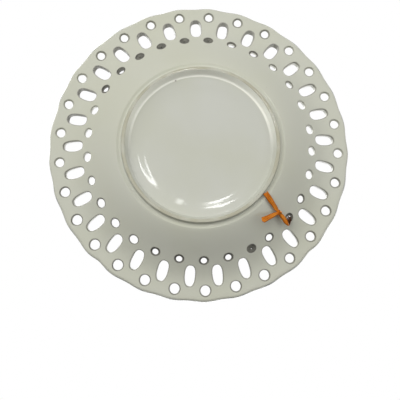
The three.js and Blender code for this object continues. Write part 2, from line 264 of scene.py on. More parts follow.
def strand_mesh(name, route, tail_across, seed):
    chance = random.Random(seed)
    ridges = [chance.uniform(-1, 1) * RIDGE_HEIGHT for _ in range(RIBBON_COLUMNS + 1)]
    fray = [chance.uniform(-1, 0.3) * FRAY for _ in range(RIBBON_COLUMNS + 1)]
    nearest = min(range(len(route)), key=lambda i: (route[i] - KNOT_MIDDLE).length)
    fold = min(range(nearest), key=lambda i: (route[i] - FOLD).length)
    last = len(route) - 1
    corners, places, shades = [], [], []
    for i, point in enumerate(route):
        along = (route[min(i + 1, last)] - route[max(i - 1, 0)]).normalized()
        past_knot = smooth_step(-TURNING_POINTS, TURNING_POINTS, i - nearest)
        across = LOOP_ACROSS.lerp(tail_across.normalized(), past_knot)
        thin = along.cross(across).normalized()
        wide = thin.cross(along)
        from_knot, from_fold = (point - KNOT_MIDDLE).length, (point - FOLD).length
        gathered = GATHERED_WIDTH if from_knot < from_fold else FOLD_WIDTH
        spread = smooth_step(0, GATHER_REACH, min(from_knot, from_fold))
        width = gathered + (RIBBON_WIDTH - gathered) * spread
        down_tail = max(i - nearest, 0) / (last - nearest)
        drift = WIDTH_DRIFT * math.sin(i * 0.31 + seed)
        width *= 1 + drift + TAIL_SPREAD * smooth_step(0.1, 0.9, down_tail)
        frayed = max(i - last + FRAYED_POINTS, 0) / FRAYED_POINTS
        curl = (GATHERED_CURL - CURL_LOSS * spread) * width
        for u, height, on in ribbon_outline(i, curl, frayed, ridges, fray):
            corners.append(point + wide * u * width + thin * height + along * on)
            places.append((i / last, u + 0.5))
            shades.append(smooth_step(fold + SHADE_POINTS[0], fold + SHADE_POINTS[1], i))
    piece = mesh_piece(name, corners, tube_faces(len(route), 2 * RIBBON_COLUMNS))
    add_map(piece, places)
    shade = piece.data.attributes.new("behind_fold", "FLOAT", "POINT")
    shade.data.foreach_set("value", shades)
    return piece


long_strand = strand_mesh("ribbon_long_strand", long_route, LONG_TAIL_ACROSS, 3)
short_strand = strand_mesh("ribbon_short_strand", short_route, SHORT_TAIL_ACROSS, 8)
print("strand faces:", len(long_strand.data.polygons), len(short_strand.data.polygons))

# %% [markdown]
# ## The knot
# The two strands are tied with one overhand knot. Its line is the trefoil, the simplest closed
# knot, squeezed until its three lobes touch. A flat tube on that line looks like a tight knot
# from every side, which a plain ball would not.

# %% Knot
KNOT_LOBE = 0.62 * MM
KNOT_DEPTH = 1.5
KNOT_WIDTH, KNOT_THICKNESS = 0.85 * MM, 0.5 * MM
KNOT_RIDGES, KNOT_RIDGE_HEIGHT = 3, 0.09
KNOT_POINTS = 96
KNOT_SIDES = 12
KNOT_AXIS = Vector((-0.62, -0.62, -0.48)).normalized()


def knot_point(turn):
    return Vector((
        math.sin(turn) + 2 * math.sin(2 * turn),
        math.cos(turn) - 2 * math.cos(2 * turn),
        -KNOT_DEPTH * math.sin(3 * turn),
    )) * KNOT_LOBE


def knot_mesh(name):
    stand = KNOT_AXIS.to_track_quat("X", "Z").to_matrix()
    corners, places, faces = [], [], []
    for i in range(KNOT_POINTS):
        turn = 2 * math.pi * i / KNOT_POINTS
        centre = knot_point(turn)
        along = (knot_point(turn + 0.01) - knot_point(turn - 0.01)).normalized()
        outward = (centre - along * centre.dot(along)).normalized()
        aside = along.cross(outward)
        for side in range(KNOT_SIDES):
            angle = 2 * math.pi * side / KNOT_SIDES
            ridge = 1 + KNOT_RIDGE_HEIGHT * math.cos(KNOT_RIDGES * angle)
            offset = (
                aside * math.cos(angle) * KNOT_WIDTH * ridge
                + outward * math.sin(angle) * KNOT_THICKNESS * ridge
            )
            corners.append(KNOT_MIDDLE + stand @ (centre + offset))
            places.append((i / KNOT_POINTS, side / KNOT_SIDES))
    for i in range(KNOT_POINTS):
        here, there = i * KNOT_SIDES, (i + 1) % KNOT_POINTS * KNOT_SIDES
        for side in range(KNOT_SIDES):
            beside = (side + 1) % KNOT_SIDES
            faces.append((here + side, there + side, there + beside, here + beside))
    piece = mesh_piece(name, corners, faces)
    add_map(piece, places)
    return piece


ribbon_knot = knot_mesh("ribbon_knot")
print("knot in mm:", [round(side / MM, 1) for side in ribbon_knot.dimensions])

# %% [markdown]
# ## What the ribbon belongs to
# Each piece rides on the body that it moves with, and the solids of the CAD model that it takes
# the place of are hidden.

for piece in (long_strand, short_strand, ribbon_knot):
    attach(piece, "root")
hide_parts("tie_loop", "tie_tail_long")
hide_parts("tie_tail_short")
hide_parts("tie_knot")
print("ribbon strands hang from", [round(x / MM, 1) for x in LOOP_ROUTE[-2]])

# %% [markdown]
# ## The plate's section
# A plate is a section turned about an axis. The underside of the wall is drawn as one line of two
# smooth runs: one from the foot ring to the inner holes and one from there to the edge. The front
# is the same line raised by the thickness of the wall. Every place in the wall is then a distance
# along that line and a depth square to it, which suits holes that go through a sloping wall.

# %% Line of the wall
RIM_RADIUS = 125.0
RIM_HEIGHT = 30.6
WALL_THICKNESS = 5.2
RIM_TO_OUTER, OUTER_TO_OVAL, OVAL_TO_INNER = 9.0, 11.6, 12.2
OUTER_RADIUS = RIM_RADIUS - RIM_TO_OUTER
OVAL_RADIUS = OUTER_RADIUS - OUTER_TO_OVAL
INNER_RADIUS = OVAL_RADIUS - OVAL_TO_INNER
INNER_DROP = 11.0
WALL_START = (63.5, 2.2)
WALL_MIDDLE = (INNER_RADIUS, RIM_HEIGHT - INNER_DROP)
WALL_END = (RIM_RADIUS - WALL_THICKNESS / 2, RIM_HEIGHT)
START_SLOPE, MIDDLE_SLOPE, END_SLOPE = 15, 34, 4
WALL_FULLNESS, RIM_FULLNESS = 0.31, 0.46
LINE_POINTS = 400


def heading(slope):
    return Vector((math.cos(math.radians(slope)), math.sin(math.radians(slope))))


def run_of_wall(start, start_slope, end, end_slope, fullness):
    """Points of a Bezier curve between two places, leaving and arriving at given slopes."""
    start, end = Vector(start), Vector(end)
    reach = (end - start).length * fullness
    leave = start + reach * heading(start_slope)
    arrive = end - reach * heading(end_slope)
    made = []
    for i in range(LINE_POINTS + 1):
        t = i / LINE_POINTS
        s = 1 - t
        made.append(start * s ** 3 + leave * 3 * s * s * t + arrive * 3 * s * t * t + end * t ** 3)
    return made


wall_line = run_of_wall(WALL_START, START_SLOPE, WALL_MIDDLE, MIDDLE_SLOPE, WALL_FULLNESS)
wall_line += run_of_wall(WALL_MIDDLE, MIDDLE_SLOPE, WALL_END, END_SLOPE, RIM_FULLNESS)[1:]
line_reach = [0.0]
for here, there in zip(wall_line, wall_line[1:]):
    line_reach.append(line_reach[-1] + (there - here).length)
line_length = line_reach[-1]
print("wall line in mm:", round(line_length, 1))

# %% Places along the line
SEARCH_STEPS = 40


def through_wall(distance, depth):
    """Radius and height at a distance along the underside and a depth through the wall."""
    distance = min(max(distance, 0.0), line_length)
    low, high = 0, len(line_reach) - 1
    while high - low > 1:
        middle = (low + high) // 2
        if line_reach[middle] <= distance:
            low = middle
        else:
            high = middle
    share = (distance - line_reach[low]) / (line_reach[high] - line_reach[low])
    point = wall_line[low].lerp(wall_line[high], share)
    before = wall_line[max(low - 1, 0)]
    after = wall_line[min(high + 1, len(wall_line) - 1)]
    along = (after - before).normalized()
    return Vector((point.x - along.y * depth, point.y + along.x * depth))


def distance_at(measure, value):
    """Distance along the line at which a growing measure reaches a value."""
    low, high = 0.0, line_length
    for _ in range(SEARCH_STEPS):
        middle = (low + high) / 2
        if measure(middle) < value:
            low = middle
        else:
            high = middle
    return low


def distance_of(radius):
    return distance_at(lambda distance: through_wall(distance, 0).x, radius)


print("the ovals lie", round(distance_of(OVAL_RADIUS), 1), "mm along the line")

# %% [markdown]
# ## The edge
# The rim was cut into 29 shallow lobes, and whoever smoothed it by hand left it a little flat in
# three places. Moving every point of the rim in or out by a small amount that depends on its
# angle gives both. The amount fades out towards the ovals, so the wall stays round.

# %% Lobes and dips
HOLES_PER_RING = 29
LOBE_HEIGHT = 0.9
EDGE_DIPS = (42, 131, 196)
DIP_DEPTH = 0.8
DIP_SPAN = 4.0


def edge_relief(angle):
    relief = LOBE_HEIGHT / 2 * math.cos(math.radians(angle * HOLES_PER_RING))
    for middle in EDGE_DIPS:
        away = (angle - middle + 180) % 360 - 180
        relief -= DIP_DEPTH * math.exp(-2 * (away / DIP_SPAN) ** 2)
    return relief


def turned(radius, height, angle):
    """A place of the section turned about the axis, in metres."""
    radius += smooth_step(OVAL_RADIUS, RIM_RADIUS, radius) * edge_relief(angle)
    turn = math.radians(angle)
    return Vector((radius * math.cos(turn), radius * math.sin(turn), height)) * MM


print("relief of the edge on a lobe and in a dip:", [round(edge_relief(a), 2) for a in (0, 42)])

# %% [markdown]
# ## The rings of holes
# Three rings of holes go through the rim: round ones near the edge, ovals laid along the slope,
# and smaller round ones on the steep part of the wall. They were punched and smoothed by hand,
# and glaze pooled in them, so they differ. For runs of holes it is written down how far the glaze
# narrows them to a waist, how grey their lips are painted as shade, how much wider they are than
# usual, and which of them have bores painted dark as shade. Five of the inner holes are nearly
# shut by a dark waist, a sheet that stands in for the shadow seen through them.

# %% Outlines of the holes
OVAL_FULLNESS = 0.8


def round_outline(diameter, count):
    """A function for the outline of a round hole, and how many corners it has."""
    def place(share, grow):
        angle = 2 * math.pi * share
        reach = diameter / 2 + grow
        return reach * math.cos(angle), reach * math.sin(angle)
    return place, count


def oval_outline(length, width, count):
    """The same for an oval, a little fuller than an ellipse."""
    def place(share, grow):
        angle = 2 * math.pi * share
        x, y = math.cos(angle), math.sin(angle)
        across = math.copysign(abs(x) ** OVAL_FULLNESS, x) * (width / 2 + grow)
        along = math.copysign(abs(y) ** OVAL_FULLNESS, y) * (length / 2 + grow)
        return across, along
    return place, count


fullest = oval_outline(2, 2, 8)[0](1 / 8, 0)[0]
print("an oval reaches", round(fullest, 2), "where an ellipse reaches", round(math.sqrt(0.5), 2))

# %% A ring and the values of its holes
def hole_ring(radius, turn, outline, waist, tone, widen, dark=(), strays=()):
    """A ring of holes, with a waist, a tone and a widening for each of them."""
    place, count = outline
    return {
        "radius": radius,
        "at": distance_of(radius),
        "turn": turn,
        "place": place,
        "count": count,
        "reach": max(place(i / count, 0)[1] for i in range(count)),
        "strays": dict(strays),
        "waist": waist,
        "tone": tone,
        "widen": widen,
        "dark": set(dark),
    }


def per_hole(usual, *runs):
    """A value for every hole of a ring: a usual one, and others for runs of holes."""
    made = [usual] * HOLES_PER_RING
    for first, last, value in runs:
        made[first:last + 1] = [value] * (last + 1 - first)
    return made


print("usual value 1 with a run of 2:", per_hole(1, (1, 2, 2))[:4])

# %% The three rings
INNER_TURN, OVAL_TURN, OUTER_TURN = 0.4, 6.7, 0.0
INNER_HOLE, OUTER_HOLE = 7.0, 8.2
OVAL_LENGTH, OVAL_WIDTH = 18.6, 8.7
ROUND_CORNERS, OVAL_CORNERS = 24, 36
# How far the waist nearly shuts a hole: a dark sheet, painted shade for the shadow seen through it.
SHADE_SHEET_WAIST = 3.2

inner_ring = hole_ring(
    INNER_RADIUS, INNER_TURN, round_outline(INNER_HOLE, ROUND_CORNERS),
    waist=per_hole(
        0.3, (2, 2, 0.6), (3, 3, 1.5), (4, 4, 0.7), (5, 5, SHADE_SHEET_WAIST), (6, 9, 1.0),
        (17, 18, 1.2), (19, 22, SHADE_SHEET_WAIST), (23, 24, 0.8), (25, 26, 0.6),
    ),
    tone=per_hole(0.35, (1, 1, 0.5), (2, 12, 0.9), (13, 13, 0.6), (17, 24, 0.9), (25, 26, 0.6)),
    widen=per_hole(0, (0, 1, 0.3), (10, 12, 0.3), (14, 16, 0.3), (27, 28, 0.4)),
    # Holes in this set get their bores painted dark, as shade.
    dark=(3, *range(5, 10), *range(17, 23)),
    strays=((2, 1.5), (4, 2.9), (28, 1.8)),
)
oval_ring = hole_ring(
    OVAL_RADIUS, OVAL_TURN, oval_outline(OVAL_LENGTH, OVAL_WIDTH, OVAL_CORNERS),
    waist=per_hole(0.25, (15, 24, 0), (22, 23, 0.6)),
    tone=per_hole(0.6, (15, 24, 0.4)),
    widen=per_hole(0, (15, 24, 0.15)),
    dark=range(15, 25),
)
outer_ring = hole_ring(
    OUTER_RADIUS, OUTER_TURN, round_outline(OUTER_HOLE, ROUND_CORNERS),
    waist=per_hole(0.7, (5, 13, 0.4), (18, 24, 0.9)),
    tone=per_hole(0.4, (1, 4, 0.65), (5, 13, 0.8), (18, 24, 0.6)),
    widen=per_hole(0, (2, 4, 0.15), (5, 12, 0.25), (18, 24, -0.1)),
)
for ring in (inner_ring, oval_ring, outer_ring):
    print("a ring lies", round(ring["at"], 1), "mm along the line")

# %% [markdown]
# ## Rows between the rings
# Each hole gets its own cell of the wall, and rows of points part the cells. The ovals stand
# between the round holes, not in line with them, so a row that parts two rings swings from side
# to side and keeps its distance from every hole that it passes. Neighbours share their borders,
# which makes the rim one closed skin. A boolean cut would be less work, but it leaves long thin
# triangles whose glaze shades in streaks.

# %% Level and swinging rows
PITCH = 360 / HOLES_PER_RING
PLACES_PER_PITCH = 12
HALF_PITCH = PLACES_PER_PITCH // 2
HOLE_BORDER = 2.4

lowest_row = inner_ring["at"] - inner_ring["reach"] - HOLE_BORDER


def level_row(distance):
    return lambda index: (index * PITCH / PLACES_PER_PITCH, distance)


def swinging_row(ring, at_ring, at_oval):
    """A row that passes the holes of one ring at one distance and the ovals at another."""
    def place(index):
        whole, part = divmod(index, PLACES_PER_PITCH)
        first = ring["turn"] + whole * PITCH
        second = oval_ring["turn"] + whole * PITCH
        if part <= HALF_PITCH:
            share, start, end = part / HALF_PITCH, first, second
            away = share
        else:
            share, start, end = (part - HALF_PITCH) / HALF_PITCH, second, first + PITCH
            away = 1 - share
        swing = (1 - math.cos(math.pi * away)) / 2
        return start + (end - start) * share, at_ring + (at_oval - at_ring) * swing
    return place


below_inner = level_row(lowest_row)
inner_to_oval = swinging_row(
    inner_ring,
    inner_ring["at"] + inner_ring["reach"] + HOLE_BORDER,
    oval_ring["at"] - oval_ring["reach"] - HOLE_BORDER,
)
oval_to_outer = swinging_row(
    outer_ring,
    outer_ring["at"] - outer_ring["reach"] - HOLE_BORDER,
    oval_ring["at"] + oval_ring["reach"] + HOLE_BORDER,
)
above_outer = level_row(line_length)
print("lowest row at", round(lowest_row, 1), "mm and the edge at", round(line_length, 1), "mm")

# %% [markdown]
# ## How the holes lean
# A punch doesn't always go in square to the wall. The inner holes were punched nearly upright,
# except on one side of the plate, where they are square. On the same side the outer holes lean
# outwards and the ovals a little inwards. A lean is a shift along the line that grows with the
# depth. It fades out between the rings, so that they don't disturb each other.

# %% Places in the wall
PUNCH_REACH = 13.0
SQUARE_PUNCHED = 249
SQUARE_SPAN = 32
RIM_LEAN = 0.28
OVAL_LEAN = 0.22


def punch_lean(angle, distance):
    """How much further along the line the front lies for each millimetre through the wall."""
    away = min(abs(distance - inner_ring["at"]) / PUNCH_REACH, 1)
    turn = (angle - SQUARE_PUNCHED + 180) % 360 - 180
    upright = 1 - math.exp(-((turn / SQUARE_SPAN) ** 2))
    inner_lean = math.tan(math.radians(MIDDLE_SLOPE)) * (1 - away ** 2) ** 2 * upright
    rim_away = min(abs(distance - outer_ring["at"]) / (line_length - outer_ring["at"]), 1)
    near_round = (1 + math.cos(math.radians(angle * HOLES_PER_RING))) / 2
    outwards = (
        RIM_LEAN * (1 - rim_away ** 4) * near_round
        - OVAL_LEAN * (1 - rim_away ** 2) ** 2 * (1 - near_round)
    )
    one_side = (1 - math.sin(math.radians(angle))) / 2
    return inner_lean + outwards * one_side


def in_wall(place, depth):
    """A place of the wall, given as an angle and a distance, at a depth below its underside."""
    angle, distance = place
    return turned(*through_wall(distance + punch_lean(angle, distance) * depth, depth), angle)


for angle in (90, SQUARE_PUNCHED):
    lean = punch_lean(angle, inner_ring["at"])
    print("lean of the inner holes at", angle, "degrees:", round(lean, 2))

# %% [markdown]
# ## The border of a cell
# Seen from the middle of its hole, the border of a cell and the collar round the hole are two
# loops. Walking round both at once and always stepping along the one that is behind joins them
# with well-shaped triangles.

# %% Corners and bands
skin_corners, skin_faces, painted_hole_shadings = [], [], []
dark_faces = set()


def add_corners(places, painted_hole_shading=0.0):
    first = len(skin_corners)
    skin_corners.extend(places)
    painted_hole_shadings.extend([painted_hole_shading] * len(places))
    return list(range(first, len(skin_corners)))


def add_band(low, high):
    """Quads between two rings with as many corners each."""
    for i in range(len(low)):
        j = (i + 1) % len(low)
        skin_faces.append((low[i], low[j], high[j], high[i]))


print("the skin starts with", len(skin_corners), "corners and", len(skin_faces), "faces")

# %% Join a border to its collar
def bearings_from(middle, places):
    """Places with their bearings, in order round the hole's middle."""
    found = []
    for place in places:
        x = math.radians(place[0] - middle[0]) * OVAL_RADIUS
        found.append((math.atan2(place[1] - middle[1], x) % (2 * math.pi), place))
    return sorted(found)


def join_border(wide, tight, wide_corners, tight_corners, flip):
    """Triangles between the border of a cell and the ring inside it."""
    full = 2 * math.pi

    def bearing(loop, i):
        return loop[i % len(loop)][0] + full * (i // len(loop))

    i = j = 0
    while i < len(wide) or j < len(tight):
        wide_next = bearing(wide, i + 1) <= bearing(tight, j + 1)
        a, b = wide_corners[i % len(wide)], tight_corners[j % len(tight)]
        if j == len(tight) or (i < len(wide) and wide_next):
            face = (a, wide_corners[(i + 1) % len(wide)], b)
            i += 1
        else:
            face = (a, tight_corners[(j + 1) % len(tight)], b)
            j += 1
        skin_faces.append(face[::-1] if flip else face)


above = bearings_from((0, 0), [(0, 1)])[0][0]
print("bearing of a place straight up the wall:", round(math.degrees(above)), "degrees")

# %% Places round a cell
SIDE_PLACES = 4


def cell_border(low, high, start):
    """The places round a cell: along its low row, up a side, back along its high row and down."""
    below = [low(start + i) for i in range(PLACES_PER_PITCH + 1)]
    above = [high(start + i) for i in range(PLACES_PER_PITCH, -1, -1)]

    def side(first, last):
        shares = [i / SIDE_PLACES for i in range(1, SIDE_PLACES)]
        return [tuple(a + (b - a) * share for a, b in zip(first, last)) for share in shares]

    left = side(below[0], above[-1])
    return [*below, *side(below[-1], above[0]), *above, *reversed(left)]


print("places round a cell:", len(cell_border(below_inner, inner_to_oval, 0)))

# %% [markdown]
# ## One hole after another
# From the collar a hole goes over a rounded lip, because glaze and a wet sponge leave no sharp
# edge, down to the waist and through to the front, where the same lip follows in reverse. Every
# ring of corners on the way carries a tone, for the material to use: above 0 a grey on a lip,
# which is painted shade, below 0 a paler bore, which is painted light for light that comes
# through the hole. The dark bores get a material of their own, which paints shade in them.

# %% Way through a hole
LIP_RADIUS = 0.7
LIP_STEPS = 4
COLLAR = 0.6
# Shares of the wall's thickness, and of the waist that is reached there
WAIST_PLACES = ((0.19, 0.6), (0.27, 1.0), (0.4, 0.6), (0.65, 0.0))
WAIST_TONE_REACH = 1.5
MOUTH_TONE = 0.3
BORE_TONE = -1.0


def bore_profile(waist):
    """Growth and depth of each ring of corners through a hole."""
    lip = [(LIP_RADIUS + COLLAR, 0.0)]
    for step in range(LIP_STEPS + 1):
        angle = math.pi / 2 * step / LIP_STEPS
        lip.append((LIP_RADIUS * (1 - math.sin(angle)), LIP_RADIUS * (1 - math.cos(angle))))
    bore = [(-waist * share, WALL_THICKNESS * depth) for depth, share in WAIST_PLACES]
    return [*lip, *bore, *[(grow, WALL_THICKNESS - depth) for grow, depth in reversed(lip)]]


# Tones for painted shade on the lips and in the dark bores, and for painted light in the pale
# bores.
def tone_of(grow, depth, hole_tone, bore_tone):
    if depth <= 0:
        return MOUTH_TONE * hole_tone * (grow <= LIP_RADIUS)
    if depth <= WAIST_TONE_REACH:
        return hole_tone
    return bore_tone if depth < WALL_THICKNESS else 0.0


print("rings of corners through a hole:", len(bore_profile(0)))

# %% Cells of the rim
def add_cell(low, high, start, ring, index):
    stray = ring["strays"].get(index, 0)
    middle = (ring["turn"] + index * PITCH + math.degrees(stray / ring["radius"]), ring["at"])

    def hole_places(grow):
        made = []
        for i in range(ring["count"]):
            x, y = ring["place"]((i + 0.5) / ring["count"], grow + ring["widen"][index])
            radius = through_wall(middle[1] + y, 0).x
            made.append((middle[0] + math.degrees(x / radius), middle[1] + y))
        return bearings_from(middle, made)

    is_dark = index in ring["dark"]
    hole_tone = ring["tone"][index]
    bore_tone = hole_tone if is_dark else BORE_TONE
    profile = bore_profile(ring["waist"][index])
    border = bearings_from(middle, cell_border(low, high, start))
    collar = hole_places(profile[0][0])
    rings = []
    for grow, depth in profile:
        places = [in_wall(place, depth) for _, place in hole_places(grow)]
        rings.append(add_corners(places, tone_of(grow, depth, hole_tone, bore_tone)))
    for depth, corners, flip in ((0, rings[0], False), (WALL_THICKNESS, rings[-1], True)):
        border_corners = add_corners([in_wall(place, depth) for _, place in border])
        join_border(border, collar, border_corners, corners, flip)
    for step, (first, second) in enumerate(zip(rings, rings[1:])):
        before = len(skin_faces)
        add_band(first, second)
        if is_dark and 0 < step < len(rings) - 2:
            dark_faces.update(range(before, len(skin_faces)))


for index in range(HOLES_PER_RING):
    start = index * PLACES_PER_PITCH
    add_cell(below_inner, inner_to_oval, start - HALF_PITCH, inner_ring, index)
    add_cell(inner_to_oval, oval_to_outer, start, oval_ring, index)
    add_cell(oval_to_outer, above_outer, start - HALF_PITCH, outer_ring, index)
print("pierced rim:", len(skin_faces), "faces round", 3 * HOLES_PER_RING, "holes")

# %% [markdown]
# ## Foot, base, edge and well
# The rest of the plate has no holes, so plain rings do: the same number of corners on every
# circle, so that they meet the pierced rim corner to corner. The corners of the foot ring are
# rounded with arcs, and the narrow land between them stays flat, because the plate stands on it.
# The base is dished a little, which is what bends the reflection of a window into a crescent.

# %% Shapes of the base and the corners
RECESS_RADIUS = 58.2
RECESS_BORDER = 6.2
DISH_TILT = 5.2
DISH_RADIUS = 49.0
DISH_SPAN = 5.5
DISH_CURVE = 0.03


def base_tilt(radius):
    """Fall of the base per millimetre outwards: a slow curve with one steeper ring."""
    tilt = DISH_CURVE * radius + DISH_TILT * math.exp(-(((radius - DISH_RADIUS) / DISH_SPAN) ** 2))
    return math.tan(math.radians(tilt))


def base_place(radius, steps=80):
    step = (RECESS_RADIUS - radius) / steps
    rise = sum(base_tilt(radius + (i + 0.5) * step) for i in range(steps)) * step
    return Vector((radius, RECESS_BORDER + rise))


def rounded(points, radii, steps=5):
    """A line of corners with an arc in place of each inner corner."""
    made = [points[0]]
    for before, corner, after, radius in zip(points, points[1:], points[2:], radii):
        back, on = (before - corner).normalized(), (after - corner).normalized()
        half = back.angle(on) / 2
        cut = radius / math.tan(half)
        middle = corner + (back + on).normalized() * (radius / math.sin(half))
        first, last = corner + back * cut - middle, corner + on * cut - middle
        swing = first.angle(last)
        for step in range(steps + 1):
            share = step / steps
            first_part, last_part = math.sin((1 - share) * swing), math.sin(share * swing)
            made.append(middle + (first * first_part + last * last_part) / math.sin(swing))
    return [*made, points[-1]]


print("the base rises", round(base_place(0).y - RECESS_BORDER, 1), "mm from its border")

# %% [markdown]
# ## Three lines of the section
# The line under the plate goes from the middle of the base over the foot to the first row of
# holes. A half circle closes the edge. The line of the well starts in the wall with a fillet, a
# curve that softens the corner between two surfaces, and ends near the middle. A line can be
# checked before it is turned, which is easier than mending a finished mesh.

# %% Line under the plate
BASE_RADII = (10, 20, 28, 33, 37, 39, *[40 + i * 0.7 for i in range(23)])
BASE_END = 55.6
FOOT_CORNERS = (
    (RECESS_RADIUS, RECESS_BORDER),
    (60.76, 0.0),
    (63.1, 0.0),
    (64.0, 3.9),
    (65.6, 4.2),
    (67.4, 3.6),
)
FOOT_ROUNDS = (1.6, 0.55, 0.6, 0.8, 1.2, 1.6)
SHOULDER_END = 69.6
WALL_ROWS = 12

underside = [base_place(radius) for radius in BASE_RADII]
shoulder_end = distance_of(SHOULDER_END)
underside += rounded(
    [base_place(BASE_END), *map(Vector, FOOT_CORNERS), through_wall(shoulder_end, 0)],
    FOOT_ROUNDS,
)
for i in range(1, WALL_ROWS + 1):
    distance = shoulder_end + (lowest_row - shoulder_end) * i / WALL_ROWS
    underside.append(through_wall(distance, 0))
print("points of the line under the plate:", len(underside))

# %% Lines of the edge and the well
EDGE_STEPS = 10
FLOOR_HEIGHT = 11.0
WELL_RISE = 5.0
WELL_RADII = (48, 34, 20, 8)
FILLET_STEPS = 8

edge_middle = through_wall(line_length, WALL_THICKNESS / 2)
edge = []
for step in range(EDGE_STEPS + 1):
    angle = math.pi * step / EDGE_STEPS - math.pi / 2 + math.radians(END_SLOPE)
    outwards = Vector((math.cos(angle), math.sin(angle)))
    edge.append(edge_middle + outwards * WALL_THICKNESS / 2)

fillet_start = distance_at(
    lambda distance: through_wall(distance, WALL_THICKNESS).y, FLOOR_HEIGHT + WELL_RISE,
)
fillet_top = through_wall(fillet_start, WALL_THICKNESS)
fillet_along = (through_wall(fillet_start + 0.5, WALL_THICKNESS) - fillet_top).normalized()
fillet_corner = fillet_top - fillet_along * WELL_RISE / fillet_along.y
fillet_end = Vector((fillet_corner.x - (fillet_top - fillet_corner).length, FLOOR_HEIGHT))
well = []
for step in range(FILLET_STEPS + 1):
    t = step / FILLET_STEPS
    well.append(fillet_top * (1 - t) ** 2 + fillet_corner * 2 * t * (1 - t) + fillet_end * t ** 2)
well += [Vector((radius, FLOOR_HEIGHT)) for radius in WELL_RADII]
print("points of the edge and of the well:", len(edge), len(well))

# %% [markdown]
# ## From lines to rings
# Each point of a line becomes a ring of corners, one for every place in the rows of the rim.
# Bands of faces join the rings, and a fan of triangles closes the middle of the base and of the
# well. The rows on the front of the wall shift with the lean of the holes beside them.

# %% Turn the lines into rings
ROUND_PLACES = HOLES_PER_RING * PLACES_PER_PITCH
ROUND_ANGLES = [360 * i / ROUND_PLACES for i in range(ROUND_PLACES)]
FRONT_ROWS = 8


def add_ring(point):
    return add_corners([turned(point[0], point[1], angle) for angle in ROUND_ANGLES])


def front_ring(distance):
    """A ring on the front of the wall, shifted like the holes that are punched beside it."""
    return add_corners([in_wall((angle, distance), WALL_THICKNESS) for angle in ROUND_ANGLES])


front_run = fillet_start - lowest_row
front_rings = [front_ring(lowest_row + front_run * i / FRONT_ROWS) for i in range(FRONT_ROWS + 1)]
for first, second in zip(front_rings, front_rings[1:]):
    add_band(first, second)
for line in (underside, edge, well):
    rings = [add_ring(point) for point in line]
    for first, second in zip(rings, rings[1:]):
        add_band(first, second)
    if line is not edge:
        inmost, height = (rings[0], line[0].y) if line is underside else (rings[-1], line[-1].y)
        middle = add_corners([turned(0, height, 0)])[0]
        for i in range(ROUND_PLACES):
            skin_faces.append((middle, inmost[i], inmost[(i + 1) % ROUND_PLACES]))
print("skin of the plate:", len(skin_corners), "corners before welding")

# %% [markdown]
# ## Made by hand
# Corners that lie on each other are welded, and the skin is closed when every edge has two faces.
# No plate made by hand is quite even. A low noise lifts and sinks the skin, the foot stands a
# little to one side, and the dish of the base does too. The land of the foot stays flat.

# %% Weld the skin and make it a little uneven
WELD = 0.002 * MM
SWELL = 0.14 * MM
BASE_SWELL = 0.04 * MM
SWELL_SPAN = 34 * MM
# Each pair says where something begins and where it is complete
OFF_LAND = (0.5 * MM, 4 * MM)
OFF_BASE = (58 * MM, 75 * MM)
FOOT_SHIFT = Vector((0.1, 0.45, 0)) * MM
FOOT_SHIFTED = (74 * MM, 66 * MM)
DISH_SHIFT = Vector((0.66, 0.23, 0)) * MM
DISH_SHIFTED = (57 * MM, 53 * MM)
SHIFTED_BELOW = (FLOOR_HEIGHT - 2) * MM

plate_mesh = bpy.data.meshes.new("plate")
plate_mesh.from_pydata(skin_corners, [], skin_faces)
materials = [int(i in dark_faces) for i in range(len(skin_faces))]
plate_mesh.polygons.foreach_set("material_index", materials)
plate_mesh.attributes.new("painted_hole_shading", "FLOAT", "POINT").data.foreach_set("value", painted_hole_shadings)
skin = bmesh.new()
skin.from_mesh(plate_mesh)
bmesh.ops.remove_doubles(skin, verts=skin.verts, dist=WELD)
bmesh.ops.dissolve_degenerate(skin, edges=skin.edges, dist=WELD)
bmesh.ops.recalc_face_normals(skin, faces=skin.faces)
for corner in skin.verts:
    off_base = smooth_step(*OFF_BASE, corner.co.xy.length)
    swell = BASE_SWELL + (SWELL - BASE_SWELL) * off_base
    off_land = smooth_step(*OFF_LAND, corner.co.z)
    corner.co.z += swell * off_land * noise(corner.co / SWELL_SPAN)
    if corner.co.z < SHIFTED_BELOW:
        from_axis = corner.co.xy.length
        corner.co += FOOT_SHIFT * smooth_step(*FOOT_SHIFTED, from_axis)
        corner.co += DISH_SHIFT * smooth_step(*DISH_SHIFTED, from_axis)
open_edges = sum(1 for side in skin.edges if len(side.link_faces) != 2)
skin.to_mesh(plate_mesh)
skin.free()
plate_mesh.shade_smooth()
plate = bpy.data.objects.new("plate", plate_mesh)
bpy.context.scene.collection.objects.link(plate)
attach(plate, "root")
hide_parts("plate_body")
print("plate:", len(plate_mesh.polygons), "faces,", open_edges, "open edges")

# %% [markdown]
# ## Small steps of a node tree
# Most of a material here is the same few steps: mix two colours by a mask, turn one range of
# values softly into another, and multiply masks. Helpers make each of them one line.

# %% Helpers for nodes
def connect(links, socket, value):
    """Feed a socket from another one, or give it a plain value."""
    if isinstance(value, bpy.types.NodeSocket):
        links.new(value, socket)
    else:
        socket.default_value = value


def mix_colours(nodes, links, factor, first, second):
    mix = nodes.new("ShaderNodeMix")
    mix.data_type = "RGBA"
    for socket, value in ((mix.inputs[0], factor), (mix.inputs[6], first), (mix.inputs[7], second)):
        connect(links, socket, value)
    return mix.outputs[2]


def remap(nodes, links, value, low, high, start=0.0, end=1.0):
    """Start where the value is low, end where it is high, and a soft change between them."""
    node = nodes.new("ShaderNodeMapRange")
    node.interpolation_type = "SMOOTHSTEP"
    links.new(value, node.inputs["Value"])
    for name, number in (("From Min", low), ("From Max", high), ("To Min", start), ("To Max", end)):
        node.inputs[name].default_value = number
    return node.outputs["Result"]


def calculate(nodes, links, operation, first, second):
    node = nodes.new("ShaderNodeMath")
    node.operation = operation
    for socket, value in zip(node.inputs, (first, second)):
        connect(links, socket, value)
    return node.outputs[0]


